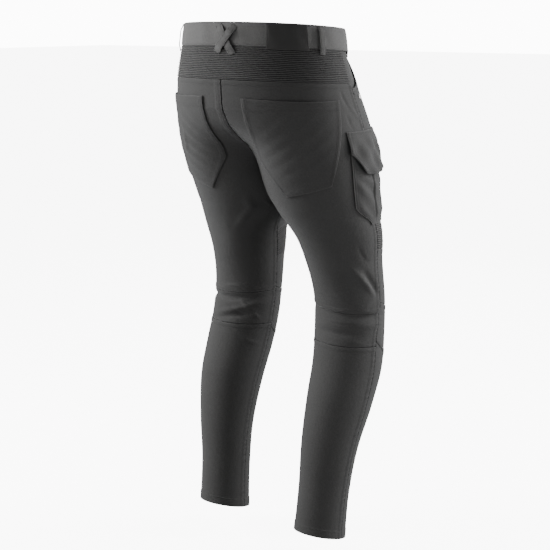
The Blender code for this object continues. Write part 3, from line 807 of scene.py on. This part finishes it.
def place_camera():
    """Level with the waist, behind the wearer's right, tipped down; the frame is 550 by 550."""
    around, distance, tip = math.radians(37.0), 2.25, math.radians(12.6)
    data = bpy.data.cameras.new("camera")
    data.sensor_width, data.lens = 36.0, 76.0
    data.shift_x = 0.020
    data.clip_start, data.clip_end = 0.05, 60.0
    camera = bpy.data.objects.new("camera", data)
    back = Vector((-math.sin(around), math.cos(around), 0.0))
    camera.location = back * distance + Vector((0, 0, 0.02))
    aim = -back * math.cos(tip) - Vector((0, 0, 1)) * math.sin(tip)
    camera.rotation_euler = aim.to_track_quat("-Z", "Y").to_euler()
    bpy.context.scene.collection.objects.link(camera)
    bpy.context.scene.camera = camera


def place_light(name, azimuth, height, distance, power_watts, size, aim=(0.0, 0.0, -0.5)):
    """A soft square light; azimuth is its place round the garment, measured as the views are."""
    data = bpy.data.lights.new(name, "AREA")
    data.energy, data.size = power_watts, size
    lamp = bpy.data.objects.new(name, data)
    turn = math.radians(azimuth)
    lamp.location = (math.sin(turn) * distance, -math.cos(turn) * distance, height)
    lamp.rotation_euler = (Vector(aim) - lamp.location).to_track_quat("-Z", "Y").to_euler()
    bpy.context.scene.collection.objects.link(lamp)


def place_studio():
    """A pale floor a little below the hems, a white surround, and soft lights from both sides."""
    bpy.ops.mesh.primitive_plane_add(size=60.0, location=(0, 0, -1.06))
    floor = bpy.context.object
    floor.name = "floor"
    paint = Paint("pale_floor", Roughness=0.95, Emission_Color=(1, 1, 1, 1), Emission_Strength=8.0)
    paint.set("Base Color", paint.grey(0.86 + 0.02 * paint.noise(3.0, 2.0, 0.5)))
    floor.data.materials.append(paint.material)
    floor.visible_diffuse = floor.visible_glossy = False
    world = bpy.data.worlds.new("surround")
    world.use_nodes = True
    tree = world.node_tree
    shown = tree.nodes["Background"]
    shown.inputs["Color"].default_value, shown.inputs["Strength"].default_value = (1, 1, 1, 1), 12.0
    ambient = tree.nodes.new("ShaderNodeBackground")
    ambient.inputs["Color"].default_value, ambient.inputs["Strength"].default_value = (1, 1, 1, 1), 0.36
    rays, choice = tree.nodes.new("ShaderNodeLightPath"), tree.nodes.new("ShaderNodeMixShader")
    tree.links.new(rays.outputs["Is Camera Ray"], choice.inputs[0])
    tree.links.new(ambient.outputs[0], choice.inputs[1])
    tree.links.new(shown.outputs[0], choice.inputs[2])
    tree.links.new(choice.outputs[0], tree.nodes["World Output"].inputs["Surface"])
    bpy.context.scene.world = world
    place_light("side_left", 118, 0.35, 2.0, 80, 0.9, (0.0, 0.0, -0.25))
    place_light("side_right", 318, 0.30, 2.0, 60, 0.9, (0.0, 0.0, -0.30))
    place_light("low_right", 285, -0.7, 2.0, 16, 0.8, (0.0, 0.0, -0.80))
    place_light("low_left", 150, -0.7, 2.2, 16, 0.8, (0.0, 0.0, -0.80))
    place_light("front", 20, 0.6, 2.6, 25, 1.2)


# Cloth panels

def fork_share(u, drop):
    """0 above the fork, 1 below it."""
    return smooth((drop - CROTCH + 0.008) / 0.016)


def mouth_share(u, drop):
    """1 where the front's top edge runs under the waistband, 0 along the pocket mouth."""
    return smooth((u - MOUTH_FROM_U + 0.006) / 0.012)


MOUTH_FROM_U, MOUTH_FROM_DROP = 0.740, 0.0415
MOUTH_TO_U, MOUTH_TO_DROP = 0.545, 0.112
MOUTH_SCOOP = 0.016


def mouth_drop(u):
    """The front pocket's mouth: a scooped line from the waistband down to the side seam."""
    t = np.clip((MOUTH_FROM_U - u) / (MOUTH_FROM_U - MOUTH_TO_U), 0, 1)
    scoop = MOUTH_FROM_DROP + (MOUTH_TO_DROP - MOUTH_FROM_DROP) * t + MOUTH_SCOOP * 4 * t * (1 - t)
    return np.where(u < MOUTH_FROM_U, scoop, BAND_SEAM.outer)


def leg_panels(side):
    """The plain panels of one side: name, panel, and the lines to sew as (edge, inset)."""
    seat = LAP if side > 0 else shift(TUCK, LAP, fork_share)
    front = shift(LAP, TUCK, fork_share) if side > 0 else TUCK
    back_top = [("top", STITCH_NEAR), ("top", STITCH_FAR)]
    seams = [("side", STITCH_NEAR), ("side", STITCH_FAR), ("inner", STITCH_NEAR), ("inner", STITCH_FAR)]
    top = [("top", STITCH_NEAR), ("top", STITCH_FAR)]
    low = [("low", STITCH_NEAR), ("low", STITCH_FAR)]
    hem = [("low", HEM_WIDTH - 0.0012)]
    mouth = shift(LAP, TUCK, mouth_share)
    return [
        ("back", Panel(side, 0.0, YOKE_SEAM, BACK_KNEE_TOP, (LAP, seat, LAP, LAP), 84, 144),
         seams + back_top + low),
        ("back_knee", Panel(side, 0.0, BACK_KNEE_TOP, BACK_KNEE_LOW, (LAP, LAP, TUCK, TUCK), 84, 22), seams),
        ("calf", Panel(side, 0.0, BACK_KNEE_LOW, HEM_EDGE, (LAP, LAP, LAP, HEMMED), 60, 124),
         seams + top + hem),
        ("front", Panel(side, 1.0, mouth_drop, RIBS_TOP, (TUCK, front, mouth, LAP), 74, 104),
         low + top),
        ("lower_thigh", Panel(side, 1.0, RIBS_LOW, KNEE_TOP, (TUCK, TUCK, LAP, TUCK), 70, 36), top),
        ("knee", Panel(side, 1.0, KNEE_TOP, KNEE_LOW, (TUCK, TUCK, LAP, LAP), 74, 34), top + low),
        ("shin", Panel(side, 1.0, KNEE_LOW, HEM_EDGE, (TUCK, TUCK, TUCK, HEMMED), 62, 128), hem),
    ]


def make_panels(side, tag, twill, thread):
    """Cuts and sews the plain panels of one side."""
    for name, panel, seams in leg_panels(side):
        points, u, drop, wear_and_rib_shade = panel.grid()
        middle = np.array(u.shape) // 2
        hint = outward(side, u[tuple(middle)], drop[tuple(middle)])
        cloth_piece(f"{name}_cloth_{tag}", points, hint, twill, [f"{name}_{tag}"], wear_and_rib_shade=wear_and_rib_shade)
        for edge, inset in seams:
            spots, normals = panel.line(edge, inset)
            if name == "front" and edge == "top":
                keep = mouth_part(spots)
                spots, normals = spots[keep], normals[keep]
            if name == "back" and side < 0 and edge == "inner":
                keep = spots[:, 2] < -CROTCH - 0.01
                spots, normals = spots[keep], normals[keep]
            thread.sew(spots, normals)


def mouth_part(spots):
    """The part of the front's top edge that is the pocket mouth, between side seam and waistband."""
    return spots[:, 2] < -(BAND_SEAM.outer + 0.006)


def make_thigh_ribs(side, tag, ribbing):
    """The accordion panel above the knee, 13 ribs."""
    panel = Panel(side, 1.0, RIBS_TOP, RIBS_LOW, (TUCK, TUCK, TUCK, TUCK), 70, 13 * 6 + 3, ribs(13, 0.0012))
    points, u, drop, wear_and_rib_shade = panel.grid()
    middle = np.array(u.shape) // 2
    hint = outward(side, u[tuple(middle)], drop[tuple(middle)])
    cloth_piece("thigh_ribs_cloth_" + tag, points, hint, ribbing,
                ["thigh_ribs_" + tag], wear_and_rib_shade=wear_and_rib_shade)


def make_yoke(ribbing):
    """The ribbed yoke across the back, 19 ribs from side seam to side seam."""
    count = 19
    t = np.linspace(0, 1, count * 6 + 1)
    drop = BAND_SEAM.outer + (YOKE_SEAM.outer - BAND_SEAM.outer) * t
    drop = np.concatenate([[drop[0] - 0.003], drop, [drop[-1] + 0.003]])[:, None]
    t = np.concatenate([[0.0], t, [1.0]])[:, None]
    across = np.linspace(-1, 1, 201)
    reach = read(SIDE_SEAM, "u", drop) + 0.002
    v = across * reach
    lift, wear_and_rib_shade = ribs(count, 0.0016)(v, t + 0 * v)
    edge = smooth(np.minimum(t, 1 - t) / 0.035)
    end = smooth((1 - np.abs(across)) / 0.012)
    lift = lift * end - (1 - edge) * (CLOTH + 0.0006)
    points = round_waist(v, drop, lift)
    # Near the band and yoke seams, where the ribbing dips under, its crests are painted half as light, as
    # shade.
    cloth_piece("yoke_cloth", points, outward(1, 0.01, 0.07), ribbing,
                ["yoke_ribs"], thickness=0.0014, wear_and_rib_shade=wear_and_rib_shade * (0.5 + 0.5 * edge))


def make_facing(side, tag, twill):
    """The pocket facing in the corner behind the mouth."""
    across = np.linspace(0, 1, 34)
    rows = np.linspace(0, 1, 30)[:, None]
    u = 0.5 + 0 * across * rows
    drop = 0.07 + 0 * u
    for _ in range(4):
        seam = read(SIDE_SEAM, "u", drop) - 0.008
        u = seam + (MOUTH_FROM_U + 0.004 - seam) * across
        top = BAND_SEAM.outer - 0.004
        low = np.maximum(mouth_drop(u[-1]) + 0.007, top + 0.008)
        drop = top + (low - top) * rows
    points = surface(side, u, drop, -0.0030)
    hint = outward(side, u[15, 16], drop[15, 16])
    cloth_piece("pocket_facing_cloth_" + tag, points, hint, twill,
                ["pocket_facing_" + tag], thickness=0.0010)


def make_waistband(twill, thread):
    """One stitched band round the waist, its left end lapped over its right end at the front."""
    v = np.linspace(-1 + 0.006, 1 + 0.045, 420)
    step_out = smooth((v - 0.955) / 0.03) * (BAND_CLOTH + SEAM_GAP)
    s = np.array([0.0, 0.0006, 0.0014, 0.0021, 0.0029, 0.0045, 0.008, 0.012, 0.017, 0.0205, 0.024, 0.029,
                  0.033, 0.0365, 0.0378, 0.0385, 0.0392, 0.0400, 0.0407, 0.0414])
    drop = s[:, None] + 0.0001
    top, low = s[:, None], s[-1] - s[:, None]
    roll = -0.0009 * ridge(top, 0.0008) - 0.0009 * ridge(low, 0.0008)
    furrow = -0.0004 * (ridge(top - STITCH_NEAR, 0.0009) + ridge(low - STITCH_NEAR, 0.0009))
    swell = 0.0006 * np.sin(np.pi * top / s[-1])
    drag = 0.0005 * np.sin(v * 61 + 2 * np.sin(v * 17) + 40 * top) * np.sin(np.pi * top / s[-1])
    lift = BAND_PROUD + 0.0002 + step_out + roll + furrow + swell + drag
    points = round_waist(v, drop, lift)
    wear_and_rib_shade = ridge(top, 0.0016) + 0.8 * ridge(low, 0.0016) + 0 * v
    cloth_piece("waistband_cloth", points, outward(-1, 0.02, 0.02), twill,
                ["waistband"], thickness=BAND_CLOTH, wear_and_rib_shade=wear_and_rib_shade)
    for inset in (3, len(s) - 4):
        near = np.clip(np.abs((v + 1) % 2 - 1), 0.002, 0.998)
        side = np.where((v + 1) % 2 - 1 >= 0, 1.0, -1.0)
        thread.sew(points[inset], outward(side, near, drop[inset] + 0 * v))
    return points


def make_back_pocket(side, tag, twill, thread):
    """A five-cornered patch pocket: turned edges, a deep hem at its mouth, twin-stitched round its sides."""
    corners = dict(top_inner=(.066, .129), top_outer=(.438, .129), low_outer=(.363, .284),
                   low_middle=(.222, .308), low_inner=(.100, .243))
    top_inner, low_inner, low_middle = (corners[name] for name in ("top_inner", "low_inner", "low_middle"))
    top_outer, low_outer = corners["top_outer"], corners["low_outer"]
    bend = (low_inner[1] - top_inner[1]) / (low_middle[1] - top_inner[1])
    length, width = 0.170, 0.170
    edge = np.array([0, 0.0006, 0.0014, 0.0021, 0.0029, 0.0045, 0.0060, 0.0070, 0.0078, 0.0088, 0.0110])
    mouth = np.array([0, .0006, .0014, .0021, .003, .006, .010, .0145, .0165, .0178, .019])
    rows = np.concatenate([mouth / length, np.linspace(.019 / length, 1 - .011 / length, 50)[1:-1],
                           1 - edge[::-1] / length])
    across = np.concatenate([edge / width, np.linspace(.011 / width, 1 - .011 / width, 48)[1:-1],
                             1 - edge[::-1] / width])
    inner_u = np.where(rows < bend, top_inner[0] + (low_inner[0] - top_inner[0]) * (rows / bend) ** 3,
                       low_inner[0] + (low_middle[0] - low_inner[0]) * (rows - bend) / (1 - bend))
    inner_drop = top_inner[1] + (low_middle[1] - top_inner[1]) * rows
    outer_u = top_outer[0] + (low_outer[0] - top_outer[0]) * rows
    outer_drop = top_outer[1] + (low_outer[1] - top_outer[1]) * rows
    u = inner_u[:, None] + (outer_u - inner_u)[:, None] * across
    drop = inner_drop[:, None] + (outer_drop - inner_drop)[:, None] * across
    drop = drop + 0.0022 * np.sin(np.pi * across) * (1 - rows[:, None]) ** 4
    from_side = np.minimum(across, 1 - across) * width + 0 * rows[:, None]
    from_low = (1 - rows)[:, None] * length + 0 * across
    from_top = rows[:, None] * length + 0 * across
    round_edge = np.minimum(from_side, from_low)
    turned = 0.0005 * (1 - smooth((round_edge - 0.0078) / 0.0014))
    turned = turned + 0.0006 * (1 - smooth((from_top - 0.0175) / 0.0014))
    furrow = (ridge(round_edge - STITCH_NEAR, 0.0008) + ridge(round_edge - STITCH_FAR, 0.0008)
              + ridge(from_top - 0.0160, 0.0008))
    roll = ridge(np.minimum(round_edge, from_top), 0.0007)
    belly = 0.0012 * np.sin(np.pi * across) * ridge(rows[:, None] - 0.06, 0.10)
    slack = 0.0005 * np.sin(u * 83 + drop * 210) * np.sin(np.pi * across) * np.sin(np.pi * rows)[:, None]
    lift = 0.0026 + turned - 0.0004 * furrow - 0.0008 * roll + belly + slack
    points = surface(side, u, drop, lift)
    wear_and_rib_shade = ridge(np.minimum(round_edge, from_top), 0.0018)
    hint = outward(side, 0.25, 0.2)
    cloth_piece("back_pocket_cloth_" + tag, points, hint, twill,
                ["back_pocket_" + tag], thickness=0.0020, wear_and_rib_shade=wear_and_rib_shade)
    normals = outward(side, u, drop)
    for k in (3, 7):
        ends = slice(2, len(rows) - 1 - k)
        thread.sew(points[ends, k], normals[ends, k])
        thread.sew(points[ends, -1 - k], normals[ends, -1 - k])
        thread.sew(points[-1 - k, k:-k], normals[-1 - k, k:-k])
    thread.sew(points[8, 4:-4], normals[8, 4:-4])
    for col in (3, -4):
        thread.bar(points[0, col], points[5, col], normals[2, col])


def make_cargo_bag(side, tag, twill, thread):
    """The cargo pocket's bag: sewn down round its edge, lifted in the middle, box pleated."""
    rows = np.linspace(0, 1, 78)[:, None]
    across = crowded(0.07, 10, 92)
    chamfer = 0.052 * smooth((rows - 0.72) / 0.28)
    back = FLAP_BACK + 0.004 + chamfer
    front = FLAP_FRONT - 0.006 - chamfer
    u = back + (front - back) * across
    drop = BAG_TOP + (BAG_LOW - BAG_TOP) * rows + 0 * u
    end = np.minimum(across, 1 - across)
    full = smooth(rows * 2) * smooth((1 - rows) * 6)
    lift = smooth(end * 7) * full
    pleat_at = (u - 0.553 - 0.004 * np.sin(drop * 30)) / 0.036
    pleat = smooth(2.2 - np.abs(pleat_at) * 1.7) * full
    lip = ridge(np.abs(pleat_at) - 0.98, 0.10) * smooth((1 - rows) * 5)
    girth = read(SIDE_SEAM, "girth", drop)
    from_edge = np.minimum(end * (front - back) * girth, (1 - rows) * (BAG_LOW - BAG_TOP))
    furrow = ridge(from_edge - STITCH_NEAR, 0.0009) + 0.6 * ridge(from_edge - STITCH_FAR, 0.0009)
    drape = 0.0011 * np.sin(u * 95 - drop * 160 + 2 * np.sin(drop * 37)) * lift * (1 - 0.6 * pleat)
    out = LAY_GAP + 0.0026 * lift + CLOTH + 0.0031 * pleat - 0.0017 * lip - 0.0005 * furrow + drape
    points = surface(side, u, drop, out)
    wear_and_rib_shade = np.maximum(ridge(from_edge, 0.002), 0.8 * ridge(np.abs(pleat_at) - 0.72, 0.07))
    hint = outward(side, 0.56, 0.3)
    cloth_piece("cargo_bag_cloth_" + tag, points, hint, twill,
                ["cargo_bag_" + tag], wear_and_rib_shade=wear_and_rib_shade)
    normals = outward(side, u, drop)
    thread.sew(points[8:-2, 3], normals[8:-2, 3])
    thread.sew(points[8:-2, -4], normals[8:-2, -4])
    thread.sew(points[-2, 3:-3], normals[-2, 3:-3])


def make_cargo_flap(side, tag, twill, thread):
    """The flap over the bag's mouth: sewn down along its top, bulging, with cut-off lower corners."""
    rows = crowded(0.10, 8, 34)[:, None]
    across = crowded(0.05, 8, 84)
    end = np.minimum(across, 1 - across)
    low = FLAP_LOW + 0.004 * np.sin(np.pi * across) - 0.036 * (1 - smooth(end / 0.24))
    u = FLAP_BACK + (FLAP_FRONT - FLAP_BACK) * across + 0 * rows
    drop = FLAP_TOP + (low - FLAP_TOP) * rows
    hang = smooth((drop - FLAP_TOP) / (BAG_TOP - FLAP_TOP - 0.002))
    near_side = smooth(end * 9)
    swell = 0.0070 * ((drop - FLAP_TOP) / (FLAP_LOW - FLAP_TOP)) ** 2
    under = LAY_GAP + 0.0030 * hang + swell * near_side
    girth = read(SIDE_SEAM, "girth", drop)
    from_side = end * (FLAP_FRONT - FLAP_BACK) * girth + 0 * rows
    from_low = (1 - rows) * (low - FLAP_TOP)
    round_edge = np.minimum(from_side, from_low)
    from_top = rows * (low - FLAP_TOP)
    furrow = ridge(round_edge - STITCH_NEAR, 0.0009) + ridge(round_edge - 0.0085, 0.0009)
    furrow = furrow + ridge(from_top - STITCH_FAR, 0.0009)
    roll = ridge(np.minimum(round_edge, from_top), 0.0008)
    bulge = 0.0014 * np.sin(u * 60 + drop * 95) * near_side * hang
    bulge = bulge + 0.0010 * np.sin(u * 111 - drop * 70) * hang
    out = under + 0.0024 - 0.0005 * furrow - 0.0010 * roll + bulge
    points = surface(side, u, drop, out)
    wear_and_rib_shade = ridge(np.minimum(round_edge, from_top), 0.002)
    hint = outward(side, 0.56, 0.22)
    cloth_piece("cargo_flap_cloth_" + tag, points, hint, twill,
                ["cargo_flap_" + tag], thickness=0.0024, wear_and_rib_shade=wear_and_rib_shade)
    normals = outward(side, u, drop)
    thread.sew(points[4, 3:-3], normals[4, 3:-3])
    thread.sew(points[3:-3, 3], normals[3:-3, 3])
    thread.sew(points[3:-3, -4], normals[3:-3, -4])
    thread.sew(points[-4, 3:-3], normals[-4, 3:-3])


def make_strap(name, node, start, end, width, rise, seat, twill, thread):
    """A belt loop: a folded strip with two stitch rows, standing off between its tacked ends."""
    t = crowded(0.04, 5, 40)[:, None]
    girth = read(SIDE_SEAM, "girth", (start[1] + end[1]) / 2)
    run = np.array([(end[0] - start[0]) * girth, end[1] - start[1]])
    run = run / np.hypot(*run)
    share = np.array([-1, -0.95, -0.86, -0.74, -0.64, -0.5, -0.3, 0, 0.3, 0.5, 0.64, 0.74, 0.86, 0.95, 1])
    half = share * width / 2
    v = start[0] + (end[0] - start[0]) * t + half * run[1] / girth
    drop = start[1] + (end[1] - start[1]) * t - half * run[0]
    crown = -0.0005 * np.abs(share) ** 6 - 0.00035 * ridge(np.abs(share) - 0.68, 0.10)
    out = seat + rise * smooth(np.minimum(t, 1 - t) / 0.26) + LOOP_CLOTH + crown
    points = round_waist(v, drop, out)
    side = 1.0 if start[0] + end[0] > 0 else -1.0
    normals = outward(side, np.clip(np.abs(v), 0.003, 0.997), drop)
    wear_and_rib_shade = np.abs(share) ** 8 + 0 * t
    cloth_piece(name, points, normals[24, 7], twill, [node], thickness=LOOP_CLOTH, wear_and_rib_shade=wear_and_rib_shade)
    for k in (3, -4):
        thread.sew(points[2:-2, k], normals[2:-2, k])
    for row in (3, -4):
        thread.bar(points[row, 1], points[row, -2], normals[row, 7])


def make_loops(twill, thread):
    """Belt loops round the waistband, two of them crossed at the centre back."""
    seat = BAND_PROUD + SEAM_GAP
    for name, v in LOOPS.items():
        make_strap(name + "_cloth", name, (v, 0.002), (v, 0.052), 0.0130, 0.0035, seat, twill, thread)
    make_strap("cross_loop_under_cloth", "cross_loop_under", (0.016, 0.006), (-0.040, 0.056), 0.0120,
               0.0030, seat, twill, thread)
    make_strap("cross_loop_over_cloth", "cross_loop_over", (-0.046, 0.007), (0.018, 0.053), 0.0120,
               0.0030 + LOOP_CLOTH + SEAM_GAP, seat, twill, thread)


def make_patch(leather, thread):
    """The bare leather patch on the right of the waistband, sewn round its edge."""
    v = -np.linspace(0.166, 0.337, 60)
    drop = np.linspace(0.002, 0.0465, 40)[:, None]
    width = 0.171 * 0.47
    from_side = np.minimum(v - v[-1], v[0] - v) / 0.171 * width + 0 * drop
    from_end = np.minimum(drop - drop[0], drop[-1] - drop) + 0 * v
    round_edge = np.minimum(from_side, from_end)
    roll = ridge(round_edge, 0.0009)
    furrow = ridge(round_edge - 0.0030, 0.0009)
    buckle = 0.0004 * np.sin(v * 70 + drop * 90) * smooth(round_edge / 0.006)
    lift = BAND_PROUD + SEAM_GAP + 0.0017 - 0.0005 * roll - 0.0003 * furrow + buckle
    points = round_waist(v, drop, lift)
    cloth_piece("patch_leather", points, outward(-1, 0.25, 0.02), leather, ["patch"],
                thickness=0.0014, wear_and_rib_shade=roll)
    normals = outward(-1, -v + 0 * drop, drop + 0 * v)
    thread.sew(points[3, 3:-3], normals[3, 3:-3])
    thread.sew(points[-3, 3:-3], normals[-3, 3:-3])
    thread.sew(points[3:-3, 2], normals[3:-3, 2])
    thread.sew(points[3:-3, -3], normals[3:-3, -3])


def main():
    twill, ribbing, leather = twill_paint(), rib_paint(), leather_paint()
    metal, cotton = metal_paint(), thread_paint()
    # The waistband and belt loops get a copy of the charcoal twill at about twice its tone, a painted
    # highlight for the brighter light the band catches.
    band = twill_paint("waistband_twill_painted_highlight", 0.085)
    place_camera()
    place_studio()
    for side, tag in ((1, "left"), (-1, "right")):
        thread = Thread()
        make_panels(side, tag, twill, thread)
        make_thigh_ribs(side, tag, ribbing)
        make_facing(side, tag, twill)
        make_back_pocket(side, tag, twill, thread)
        make_cargo_bag(side, tag, twill, thread)
        make_cargo_flap(side, tag, twill, thread)
        thread.cut("stitching_" + tag, cotton)
    thread = Thread()
    make_yoke(ribbing)
    make_waistband(band, thread)
    make_loops(band, thread)
    make_patch(leather, thread)
    thread.cut("stitching_waist", cotton)
    for name in ("rivet_left", "rivet_right", "waist_button"):
        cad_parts[name].data.materials.clear()
        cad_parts[name].data.materials.append(metal)


main()
